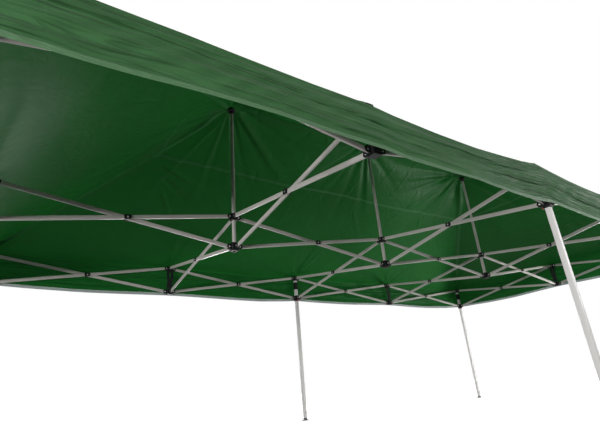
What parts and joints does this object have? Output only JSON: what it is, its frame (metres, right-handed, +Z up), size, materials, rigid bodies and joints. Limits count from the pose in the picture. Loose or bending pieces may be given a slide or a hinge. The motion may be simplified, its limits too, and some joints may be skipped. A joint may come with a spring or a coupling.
{
  "type": "pop up gazebo",
  "caption": "Oblong folding gazebo on square telescopic legs, with a scissor truss, peak poles and a hipped green fabric canopy.",
  "frame": {"origin": "centre of the footprint on the ground", "axes": "+Z up, +X along the long side, -Y towards the near long side"},
  "size_m": [5.952, 3.012, 2.4682],
  "materials": {
    "canopy_fabric": "woven polyester, matte with a faint sheen",
    "leg_paint": "light grey powder coat, satin",
    "bar_paint": "grey powder coat, satin",
    "black_nylon": "moulded black nylon, matte"
  },
  "bodies": {
    "roof": {"upper_hub_centre": "black_nylon", "canopy": "canopy_fabric"},
    "long_bar_rising_mid_left": {"long_bar_rising_mid_left": "bar_paint"},
    "lower_hub_mid_left": {"lower_hub_mid_left": "bar_paint"},
    "long_bar_falling_mid_left": {"long_bar_falling_mid_left": "bar_paint"},
    "upper_hub_mid_left": {"upper_hub_mid_left": "black_nylon"},
    "lower_hub_centre": {"lower_hub_centre": "bar_paint"},
    "long_bar_falling_centre": {"long_bar_falling_centre": "bar_paint"},
    "lower_hub_mid_right": {"lower_hub_mid_right": "bar_paint"},
    "long_bar_rising_centre": {"long_bar_rising_centre": "bar_paint"},
    "upper_hub_mid_right": {"upper_hub_mid_right": "black_nylon"},
    "peak_tube_mid_left": {"peak_tube_mid_left": "bar_paint"},
    "peak_tube_centre": {"peak_tube_centre": "bar_paint"},
    "peak_tube_mid_right": {"peak_tube_mid_right": "bar_paint"},
    "ridge_crossing_left": {"ridge_crossing_left": "bar_paint"},
    "upper_connector_left": {"upper_connector_left": "black_nylon"},
    "cross_bar_rising_left_near": {"cross_bar_rising_left_near": "bar_paint"},
    "slider_near_left": {"slider_near_left": "black_nylon"},
    "cross_bar_falling_left_near": {"cross_bar_falling_left_near": "bar_paint"},
    "outer_leg_near_left": {"outer_leg_near_left": "leg_paint"},
    "cross_bar_falling_left_far": {"cross_bar_falling_left_far": "bar_paint"},
    "slider_far_left": {"slider_far_left": "black_nylon"},
    "cross_bar_rising_left_far": {"cross_bar_rising_left_far": "bar_paint"},
    "outer_leg_far_left": {"outer_leg_far_left": "leg_paint"},
    "side_crossing_near_1": {"side_crossing_near_1": "bar_paint"},
    "side_crossing_far_1": {"side_crossing_far_1": "bar_paint"},
    "ridge_crossing_right": {"ridge_crossing_right": "bar_paint"},
    "upper_connector_right": {"upper_connector_right": "black_nylon"},
    "cross_bar_rising_right_near": {"cross_bar_rising_right_near": "bar_paint"},
    "slider_near_right": {"slider_near_right": "black_nylon"},
    "cross_bar_falling_right_near": {"cross_bar_falling_right_near": "bar_paint"},
    "outer_leg_near_right": {"outer_leg_near_right": "leg_paint"},
    "cross_bar_falling_right_far": {"cross_bar_falling_right_far": "bar_paint"},
    "slider_far_right": {"slider_far_right": "black_nylon"},
    "cross_bar_rising_right_far": {"cross_bar_rising_right_far": "bar_paint"},
    "outer_leg_far_right": {"outer_leg_far_right": "leg_paint"},
    "side_crossing_near_4": {"side_crossing_near_4": "bar_paint"},
    "side_crossing_far_4": {"side_crossing_far_4": "bar_paint"},
    "cross_bar_falling_centre_near": {"cross_bar_falling_centre_near": "bar_paint"},
    "outer_leg_near_centre": {"outer_leg_near_centre": "leg_paint"},
    "cross_bar_rising_centre_far": {"cross_bar_rising_centre_far": "bar_paint"},
    "outer_leg_far_centre": {"outer_leg_far_centre": "leg_paint"},
    "cross_bar_rising_centre_near": {"cross_bar_rising_centre_near": "bar_paint"},
    "slider_near_centre": {"slider_near_centre": "black_nylon"},
    "cross_bar_falling_centre_far": {"cross_bar_falling_centre_far": "bar_paint"},
    "slider_far_centre": {"slider_far_centre": "black_nylon"},
    "side_crossing_near_2": {"side_crossing_near_2": "bar_paint"},
    "side_crossing_near_3": {"side_crossing_near_3": "bar_paint"},
    "side_crossing_far_2": {"side_crossing_far_2": "bar_paint"},
    "side_crossing_far_3": {"side_crossing_far_3": "bar_paint"},
    "cross_crossing_mid_left_near": {"cross_crossing_mid_left_near": "bar_paint"},
    "cross_crossing_mid_left_far": {"cross_crossing_mid_left_far": "bar_paint"},
    "cross_crossing_mid_right_near": {"cross_crossing_mid_right_near": "bar_paint"},
    "cross_crossing_mid_right_far": {"cross_crossing_mid_right_far": "bar_paint"},
    "inner_leg_near_left": {"inner_leg_near_left": "leg_paint"},
    "inner_leg_far_left": {"inner_leg_far_left": "leg_paint"},
    "inner_leg_near_centre": {"inner_leg_near_centre": "leg_paint"},
    "inner_leg_far_centre": {"inner_leg_far_centre": "leg_paint"},
    "inner_leg_near_right": {"inner_leg_near_right": "leg_paint"},
    "inner_leg_far_right": {"inner_leg_far_right": "leg_paint"}
  },
  "joints": [
    {"name": "frame_fold", "type": "hinge", "parent": "roof", "child": "long_bar_rising_mid_left", "pos_m": [-0.038, -0.0069, 1.5], "axis": [0, -1, 0], "range_deg": [0, 79]},
    {"name": "lower_hub_mid_left_hinge", "type": "hinge", "parent": "long_bar_rising_mid_left", "child": "lower_hub_mid_left", "pos_m": [-1.432, -0.0069, 1.275], "axis": [0, 1, 0], "range_deg": [0, 79.01]},
    {"name": "long_bar_falling_mid_left_hinge", "type": "hinge", "parent": "long_bar_rising_mid_left", "child": "long_bar_falling_mid_left", "pos_m": [-0.735, 0, 1.3875], "axis": [0, 1, 0], "range_deg": [0, 158.01]},
    {"name": "upper_hub_mid_left_hinge", "type": "hinge", "parent": "long_bar_falling_mid_left", "child": "upper_hub_mid_left", "pos_m": [-1.432, 0.0069, 1.5], "axis": [0, 1, 0], "range_deg": [-79.01, 0]},
    {"name": "lower_hub_centre_hinge", "type": "hinge", "parent": "long_bar_falling_mid_left", "child": "lower_hub_centre", "pos_m": [-0.038, 0.0069, 1.275], "axis": [0, 1, 0], "range_deg": [-79.01, 0]},
    {"name": "long_bar_falling_centre_hinge", "type": "hinge", "parent": "roof", "child": "long_bar_falling_centre", "pos_m": [0.038, 0.0069, 1.5], "axis": [0, 1, 0], "range_deg": [0, 79.01]},
    {"name": "lower_hub_mid_right_hinge", "type": "hinge", "parent": "long_bar_falling_centre", "child": "lower_hub_mid_right", "pos_m": [1.432, 0.0069, 1.275], "axis": [0, 1, 0], "range_deg": [-79.01, 0]},
    {"name": "long_bar_rising_centre_hinge", "type": "hinge", "parent": "lower_hub_centre", "child": "long_bar_rising_centre", "pos_m": [0.038, -0.0069, 1.275], "axis": [0, 1, 0], "range_deg": [-79.01, 0]},
    {"name": "upper_hub_mid_right_hinge", "type": "hinge", "parent": "long_bar_rising_centre", "child": "upper_hub_mid_right", "pos_m": [1.432, -0.0069, 1.5], "axis": [0, 1, 0], "range_deg": [0, 79.01]},
    {"name": "peak_tube_mid_left_slide", "type": "slide", "parent": "lower_hub_mid_left", "child": "peak_tube_mid_left", "axis": [0, 0, 1], "range_m": [0, 0.3102]},
    {"name": "peak_tube_centre_slide", "type": "slide", "parent": "lower_hub_centre", "child": "peak_tube_centre", "axis": [0, 0, 1], "range_m": [0, 0.3102]},
    {"name": "peak_tube_mid_right_slide", "type": "slide", "parent": "lower_hub_mid_right", "child": "peak_tube_mid_right", "axis": [0, 0, 1], "range_m": [0, 0.3102]},
    {"name": "ridge_crossing_left_hinge", "type": "hinge", "parent": "lower_hub_mid_left", "child": "ridge_crossing_left", "pos_m": [-1.508, 0.0069, 1.275], "axis": [0, 1, 0], "range_deg": [0, 79.01], "deforming": ["ridge_crossing_left"]},
    {"name": "upper_connector_left_hinge", "type": "hinge", "parent": "ridge_crossing_left", "child": "upper_connector_left", "pos_m": [-2.902, 0.0069, 1.5], "axis": [0, 1, 0], "range_deg": [-79.01, 0]},
    {"name": "cross_bar_rising_left_near_hinge", "type": "hinge", "parent": "upper_connector_left", "child": "cross_bar_rising_left_near", "pos_m": [-2.9469, -0.038, 1.5], "axis": [1, 0, 0], "range_deg": [0, 79.01]},
    {"name": "slider_near_left_hinge", "type": "hinge", "parent": "cross_bar_rising_left_near", "child": "slider_near_left", "pos_m": [-2.9469, -1.432, 1.275], "axis": [1, 0, 0], "range_deg": [-79.01, 0]},
    {"name": "cross_bar_falling_left_near_hinge", "type": "hinge", "parent": "cross_bar_rising_left_near", "child": "cross_bar_falling_left_near", "pos_m": [-2.94, -0.735, 1.3875], "axis": [1, 0, 0], "range_deg": [-158.01, 0]},
    {"name": "outer_leg_near_left_hinge", "type": "hinge", "parent": "cross_bar_falling_left_near", "child": "outer_leg_near_left", "pos_m": [-2.9331, -1.432, 1.5], "axis": [1, 0, 0], "range_deg": [0, 79.01]},
    {"name": "cross_bar_falling_left_far_hinge", "type": "hinge", "parent": "upper_connector_left", "child": "cross_bar_falling_left_far", "pos_m": [-2.9331, 0.038, 1.5], "axis": [1, 0, 0], "range_deg": [-79.01, 0]},
    {"name": "slider_far_left_hinge", "type": "hinge", "parent": "cross_bar_falling_left_far", "child": "slider_far_left", "pos_m": [-2.9331, 1.432, 1.275], "axis": [1, 0, 0], "range_deg": [0, 79.01]},
    {"name": "cross_bar_rising_left_far_hinge", "type": "hinge", "parent": "cross_bar_falling_left_far", "child": "cross_bar_rising_left_far", "pos_m": [-2.94, 0.735, 1.3875], "axis": [1, 0, 0], "range_deg": [0, 158.01]},
    {"name": "outer_leg_far_left_hinge", "type": "hinge", "parent": "cross_bar_rising_left_far", "child": "outer_leg_far_left", "pos_m": [-2.9469, 1.432, 1.5], "axis": [1, 0, 0], "range_deg": [-79.01, 0]},
    {"name": "side_crossing_near_1_hinge", "type": "hinge", "parent": "outer_leg_near_left", "child": "side_crossing_near_1", "pos_m": [-2.902, -1.4631, 1.5], "axis": [0, 1, 0], "range_deg": [0, 79.01], "deforming": ["side_crossing_near_1"]},
    {"name": "side_crossing_far_1_hinge", "type": "hinge", "parent": "outer_leg_far_left", "child": "side_crossing_far_1", "pos_m": [-2.902, 1.4769, 1.5], "axis": [0, 1, 0], "range_deg": [0, 79.01], "deforming": ["side_crossing_far_1"]},
    {"name": "ridge_crossing_right_hinge", "type": "hinge", "parent": "lower_hub_mid_right", "child": "ridge_crossing_right", "pos_m": [1.508, -0.0069, 1.275], "axis": [0, 1, 0], "range_deg": [-79.01, 0], "deforming": ["ridge_crossing_right"]},
    {"name": "upper_connector_right_hinge", "type": "hinge", "parent": "ridge_crossing_right", "child": "upper_connector_right", "pos_m": [2.902, -0.0069, 1.5], "axis": [0, 1, 0], "range_deg": [0, 79.01]},
    {"name": "cross_bar_rising_right_near_hinge", "type": "hinge", "parent": "upper_connector_right", "child": "cross_bar_rising_right_near", "pos_m": [2.9331, -0.038, 1.5], "axis": [1, 0, 0], "range_deg": [0, 79.01]},
    {"name": "slider_near_right_hinge", "type": "hinge", "parent": "cross_bar_rising_right_near", "child": "slider_near_right", "pos_m": [2.9331, -1.432, 1.275], "axis": [1, 0, 0], "range_deg": [-79.01, 0]},
    {"name": "cross_bar_falling_right_near_hinge", "type": "hinge", "parent": "cross_bar_rising_right_near", "child": "cross_bar_falling_right_near", "pos_m": [2.94, -0.735, 1.3875], "axis": [1, 0, 0], "range_deg": [-158.01, 0]},
    {"name": "outer_leg_near_right_hinge", "type": "hinge", "parent": "cross_bar_falling_right_near", "child": "outer_leg_near_right", "pos_m": [2.9469, -1.432, 1.5], "axis": [1, 0, 0], "range_deg": [0, 79.01]},
    {"name": "cross_bar_falling_right_far_hinge", "type": "hinge", "parent": "upper_connector_right", "child": "cross_bar_falling_right_far", "pos_m": [2.9469, 0.038, 1.5], "axis": [1, 0, 0], "range_deg": [-79.01, 0]},
    {"name": "slider_far_right_hinge", "type": "hinge", "parent": "cross_bar_falling_right_far", "child": "slider_far_right", "pos_m": [2.9469, 1.432, 1.275], "axis": [1, 0, 0], "range_deg": [0, 79.01]},
    {"name": "cross_bar_rising_right_far_hinge", "type": "hinge", "parent": "cross_bar_falling_right_far", "child": "cross_bar_rising_right_far", "pos_m": [2.94, 0.735, 1.3875], "axis": [1, 0, 0], "range_deg": [0, 158.01]},
    {"name": "outer_leg_far_right_hinge", "type": "hinge", "parent": "cross_bar_rising_right_far", "child": "outer_leg_far_right", "pos_m": [2.9331, 1.432, 1.5], "axis": [1, 0, 0], "range_deg": [-79.01, 0]},
    {"name": "side_crossing_near_4_hinge", "type": "hinge", "parent": "outer_leg_near_right", "child": "side_crossing_near_4", "pos_m": [2.902, -1.4769, 1.5], "axis": [0, 1, 0], "range_deg": [-79.01, 0], "deforming": ["side_crossing_near_4"]},
    {"name": "side_crossing_far_4_hinge", "type": "hinge", "parent": "outer_leg_far_right", "child": "side_crossing_far_4", "pos_m": [2.902, 1.4631, 1.5], "axis": [0, 1, 0], "range_deg": [-79.01, 0], "deforming": ["side_crossing_far_4"]},
    {"name": "cross_bar_falling_centre_near_hinge", "type": "hinge", "parent": "lower_hub_centre", "child": "cross_bar_falling_centre_near", "pos_m": [0.0069, -0.038, 1.275], "axis": [1, 0, 0], "range_deg": [-79.01, 0]},
    {"name": "outer_leg_near_centre_hinge", "type": "hinge", "parent": "cross_bar_falling_centre_near", "child": "outer_leg_near_centre", "pos_m": [0.0069, -1.432, 1.5], "axis": [1, 0, 0], "range_deg": [0, 79.01]},
    {"name": "cross_bar_rising_centre_far_hinge", "type": "hinge", "parent": "lower_hub_centre", "child": "cross_bar_rising_centre_far", "pos_m": [-0.0069, 0.038, 1.275], "axis": [1, 0, 0], "range_deg": [0, 79.01]},
    {"name": "outer_leg_far_centre_hinge", "type": "hinge", "parent": "cross_bar_rising_centre_far", "child": "outer_leg_far_centre", "pos_m": [-0.0069, 1.432, 1.5], "axis": [1, 0, 0], "range_deg": [-79.01, 0]},
    {"name": "cross_bar_rising_centre_near_hinge", "type": "hinge", "parent": "roof", "child": "cross_bar_rising_centre_near", "pos_m": [-0.0069, -0.038, 1.5], "axis": [1, 0, 0], "range_deg": [0, 79.01]},
    {"name": "slider_near_centre_hinge", "type": "hinge", "parent": "cross_bar_rising_centre_near", "child": "slider_near_centre", "pos_m": [-0.0069, -1.432, 1.275], "axis": [1, 0, 0], "range_deg": [-79.01, 0]},
    {"name": "cross_bar_falling_centre_far_hinge", "type": "hinge", "parent": "roof", "child": "cross_bar_falling_centre_far", "pos_m": [0.0069, 0.038, 1.5], "axis": [1, 0, 0], "range_deg": [-79.01, 0]},
    {"name": "slider_far_centre_hinge", "type": "hinge", "parent": "cross_bar_falling_centre_far", "child": "slider_far_centre", "pos_m": [0.0069, 1.432, 1.275], "axis": [1, 0, 0], "range_deg": [0, 79.01]},
    {"name": "side_crossing_near_2_hinge", "type": "hinge", "parent": "outer_leg_near_centre", "child": "side_crossing_near_2", "pos_m": [-0.038, -1.4769, 1.5], "axis": [0, 1, 0], "range_deg": [-79.01, 0], "deforming": ["side_crossing_near_2"]},
    {"name": "side_crossing_near_3_hinge", "type": "hinge", "parent": "outer_leg_near_centre", "child": "side_crossing_near_3", "pos_m": [0.038, -1.4631, 1.5], "axis": [0, 1, 0], "range_deg": [0, 79.01], "deforming": ["side_crossing_near_3"]},
    {"name": "side_crossing_far_2_hinge", "type": "hinge", "parent": "outer_leg_far_centre", "child": "side_crossing_far_2", "pos_m": [-0.038, 1.4631, 1.5], "axis": [0, 1, 0], "range_deg": [-79.01, 0], "deforming": ["side_crossing_far_2"]},
    {"name": "side_crossing_far_3_hinge", "type": "hinge", "parent": "outer_leg_far_centre", "child": "side_crossing_far_3", "pos_m": [0.038, 1.4769, 1.5], "axis": [0, 1, 0], "range_deg": [0, 79.01], "deforming": ["side_crossing_far_3"]},
    {"name": "cross_crossing_mid_left_near_hinge", "type": "hinge", "parent": "lower_hub_mid_left", "child": "cross_crossing_mid_left_near", "pos_m": [-1.4631, -0.038, 1.275], "axis": [1, 0, 0], "range_deg": [-79.01, 0], "deforming": ["cross_crossing_mid_left_near"]},
    {"name": "cross_crossing_mid_left_far_hinge", "type": "hinge", "parent": "lower_hub_mid_left", "child": "cross_crossing_mid_left_far", "pos_m": [-1.4769, 0.038, 1.275], "axis": [1, 0, 0], "range_deg": [0, 79.01], "deforming": ["cross_crossing_mid_left_far"]},
    {"name": "cross_crossing_mid_right_near_hinge", "type": "hinge", "parent": "lower_hub_mid_right", "child": "cross_crossing_mid_right_near", "pos_m": [1.4769, -0.038, 1.275], "axis": [1, 0, 0], "range_deg": [-79.01, 0], "deforming": ["cross_crossing_mid_right_near"]},
    {"name": "cross_crossing_mid_right_far_hinge", "type": "hinge", "parent": "lower_hub_mid_right", "child": "cross_crossing_mid_right_far", "pos_m": [1.4631, 0.038, 1.275], "axis": [1, 0, 0], "range_deg": [0, 79.01], "deforming": ["cross_crossing_mid_right_far"]},
    {"name": "leg_height_near_left", "type": "slide", "parent": "outer_leg_near_left", "child": "inner_leg_near_left", "axis": [0, 0, -1], "range_m": [0, 0.42]},
    {"name": "leg_height_far_left", "type": "slide", "parent": "outer_leg_far_left", "child": "inner_leg_far_left", "axis": [0, 0, -1], "range_m": [0, 0.42]},
    {"name": "leg_height_near_centre", "type": "slide", "parent": "outer_leg_near_centre", "child": "inner_leg_near_centre", "axis": [0, 0, -1], "range_m": [0, 0.42]},
    {"name": "leg_height_far_centre", "type": "slide", "parent": "outer_leg_far_centre", "child": "inner_leg_far_centre", "axis": [0, 0, -1], "range_m": [0, 0.42]},
    {"name": "leg_height_near_right", "type": "slide", "parent": "outer_leg_near_right", "child": "inner_leg_near_right", "axis": [0, 0, -1], "range_m": [0, 0.42]},
    {"name": "leg_height_far_right", "type": "slide", "parent": "outer_leg_far_right", "child": "inner_leg_far_right", "axis": [0, 0, -1], "range_m": [0, 0.42]}
  ],
  "couplings": [
    {"joint": "lower_hub_mid_left_hinge", "follows": "frame_fold", "ratio": 1},
    {"joint": "long_bar_falling_mid_left_hinge", "follows": "frame_fold", "ratio": 2},
    {"joint": "upper_hub_mid_left_hinge", "follows": "frame_fold", "ratio": -1},
    {"joint": "lower_hub_centre_hinge", "follows": "frame_fold", "ratio": -1},
    {"joint": "long_bar_falling_centre_hinge", "follows": "frame_fold", "ratio": 1},
    {"joint": "lower_hub_mid_right_hinge", "follows": "frame_fold", "ratio": -1},
    {"joint": "long_bar_rising_centre_hinge", "follows": "frame_fold", "ratio": -1},
    {"joint": "upper_hub_mid_right_hinge", "follows": "frame_fold", "ratio": 1},
    {"joint": "peak_tube_mid_left_slide", "follows": "frame_fold", "m_per_rad": 0.22483},
    {"joint": "peak_tube_centre_slide", "follows": "frame_fold", "m_per_rad": 0.22483},
    {"joint": "peak_tube_mid_right_slide", "follows": "frame_fold", "m_per_rad": 0.22483},
    {"joint": "ridge_crossing_left_hinge", "follows": "frame_fold", "ratio": 1},
    {"joint": "upper_connector_left_hinge", "follows": "frame_fold", "ratio": -1},
    {"joint": "cross_bar_rising_left_near_hinge", "follows": "frame_fold", "ratio": 1},
    {"joint": "slider_near_left_hinge", "follows": "frame_fold", "ratio": -1},
    {"joint": "cross_bar_falling_left_near_hinge", "follows": "frame_fold", "ratio": -2},
    {"joint": "outer_leg_near_left_hinge", "follows": "frame_fold", "ratio": 1},
    {"joint": "cross_bar_falling_left_far_hinge", "follows": "frame_fold", "ratio": -1},
    {"joint": "slider_far_left_hinge", "follows": "frame_fold", "ratio": 1},
    {"joint": "cross_bar_rising_left_far_hinge", "follows": "frame_fold", "ratio": 2},
    {"joint": "outer_leg_far_left_hinge", "follows": "frame_fold", "ratio": -1},
    {"joint": "side_crossing_near_1_hinge", "follows": "frame_fold", "ratio": 1},
    {"joint": "side_crossing_far_1_hinge", "follows": "frame_fold", "ratio": 1},
    {"joint": "ridge_crossing_right_hinge", "follows": "frame_fold", "ratio": -1},
    {"joint": "upper_connector_right_hinge", "follows": "frame_fold", "ratio": 1},
    {"joint": "cross_bar_rising_right_near_hinge", "follows": "frame_fold", "ratio": 1},
    {"joint": "slider_near_right_hinge", "follows": "frame_fold", "ratio": -1},
    {"joint": "cross_bar_falling_right_near_hinge", "follows": "frame_fold", "ratio": -2},
    {"joint": "outer_leg_near_right_hinge", "follows": "frame_fold", "ratio": 1},
    {"joint": "cross_bar_falling_right_far_hinge", "follows": "frame_fold", "ratio": -1},
    {"joint": "slider_far_right_hinge", "follows": "frame_fold", "ratio": 1},
    {"joint": "cross_bar_rising_right_far_hinge", "follows": "frame_fold", "ratio": 2},
    {"joint": "outer_leg_far_right_hinge", "follows": "frame_fold", "ratio": -1},
    {"joint": "side_crossing_near_4_hinge", "follows": "frame_fold", "ratio": -1},
    {"joint": "side_crossing_far_4_hinge", "follows": "frame_fold", "ratio": -1},
    {"joint": "cross_bar_falling_centre_near_hinge", "follows": "frame_fold", "ratio": -1},
    {"joint": "outer_leg_near_centre_hinge", "follows": "frame_fold", "ratio": 1},
    {"joint": "cross_bar_rising_centre_far_hinge", "follows": "frame_fold", "ratio": 1},
    {"joint": "outer_leg_far_centre_hinge", "follows": "frame_fold", "ratio": -1},
    {"joint": "cross_bar_rising_centre_near_hinge", "follows": "frame_fold", "ratio": 1},
    {"joint": "slider_near_centre_hinge", "follows": "frame_fold", "ratio": -1},
    {"joint": "cross_bar_falling_centre_far_hinge", "follows": "frame_fold", "ratio": -1},
    {"joint": "slider_far_centre_hinge", "follows": "frame_fold", "ratio": 1},
    {"joint": "side_crossing_near_2_hinge", "follows": "frame_fold", "ratio": -1},
    {"joint": "side_crossing_near_3_hinge", "follows": "frame_fold", "ratio": 1},
    {"joint": "side_crossing_far_2_hinge", "follows": "frame_fold", "ratio": -1},
    {"joint": "side_crossing_far_3_hinge", "follows": "frame_fold", "ratio": 1},
    {"joint": "cross_crossing_mid_left_near_hinge", "follows": "frame_fold", "ratio": -1},
    {"joint": "cross_crossing_mid_left_far_hinge", "follows": "frame_fold", "ratio": 1},
    {"joint": "cross_crossing_mid_right_near_hinge", "follows": "frame_fold", "ratio": -1},
    {"joint": "cross_crossing_mid_right_far_hinge", "follows": "frame_fold", "ratio": 1}
  ]
}
